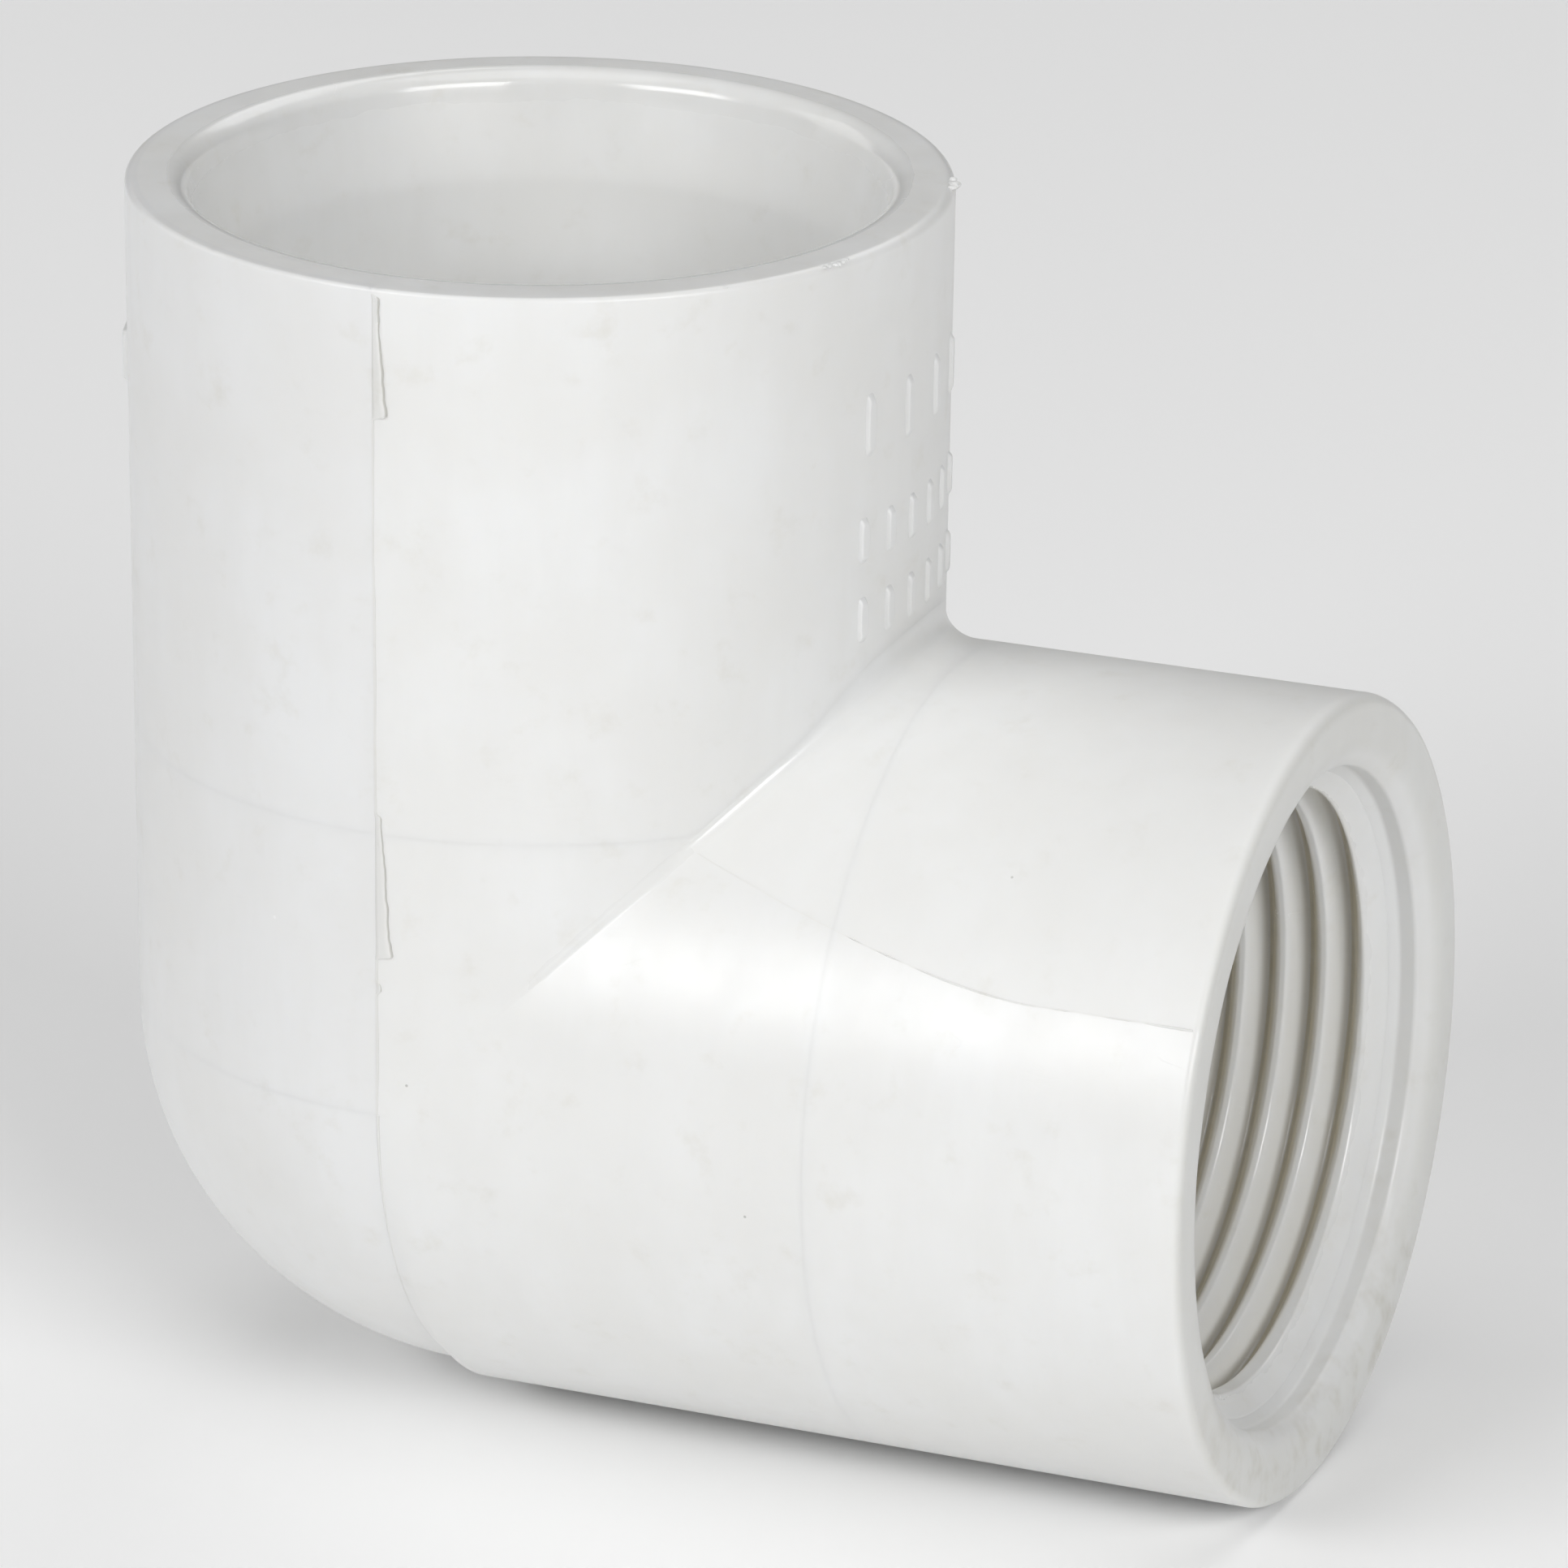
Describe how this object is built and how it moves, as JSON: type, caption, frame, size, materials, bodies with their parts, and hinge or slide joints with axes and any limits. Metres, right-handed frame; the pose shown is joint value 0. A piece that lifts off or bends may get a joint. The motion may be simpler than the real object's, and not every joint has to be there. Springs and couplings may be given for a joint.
{
  "type": "pipe elbow",
  "caption": "Right-angle white plastic pipe elbow with a smooth glue-in socket on one leg and a tapered female pipe thread on the other.",
  "frame": {"origin": "centre of the pipe stop at the bottom of the slip socket, where the end of an inserted pipe sits", "axes": "+Z out of the slip socket along its bore; +X the way the threaded leg points, parallel to its bore; the two bore axes cross 15.1 mm below the origin"},
  "size_m": [0.064, 0.0424, 0.0645],
  "materials": {
    "body_plastic": "semi-gloss moulded white PVC",
    "thread_plastic": "semi-gloss moulded white PVC, slightly yellowed in the grooves",
    "flash_plastic": "thin translucent white PVC flash"
  },
  "bodies": {
    "root": {"slip_socket": "body_plastic", "elbow_corner": "body_plastic", "elbow_heel": "body_plastic", "threaded_socket": "body_plastic", "pipe_thread": "thread_plastic", "socket_flash": "flash_plastic", "heel_flash": "flash_plastic", "hub_flash": "flash_plastic", "raised_bars_upper": "body_plastic", "raised_bars_middle": "body_plastic", "raised_bars_lower": "body_plastic", "raised_pad": "body_plastic"}
  },
  "joints": []
}
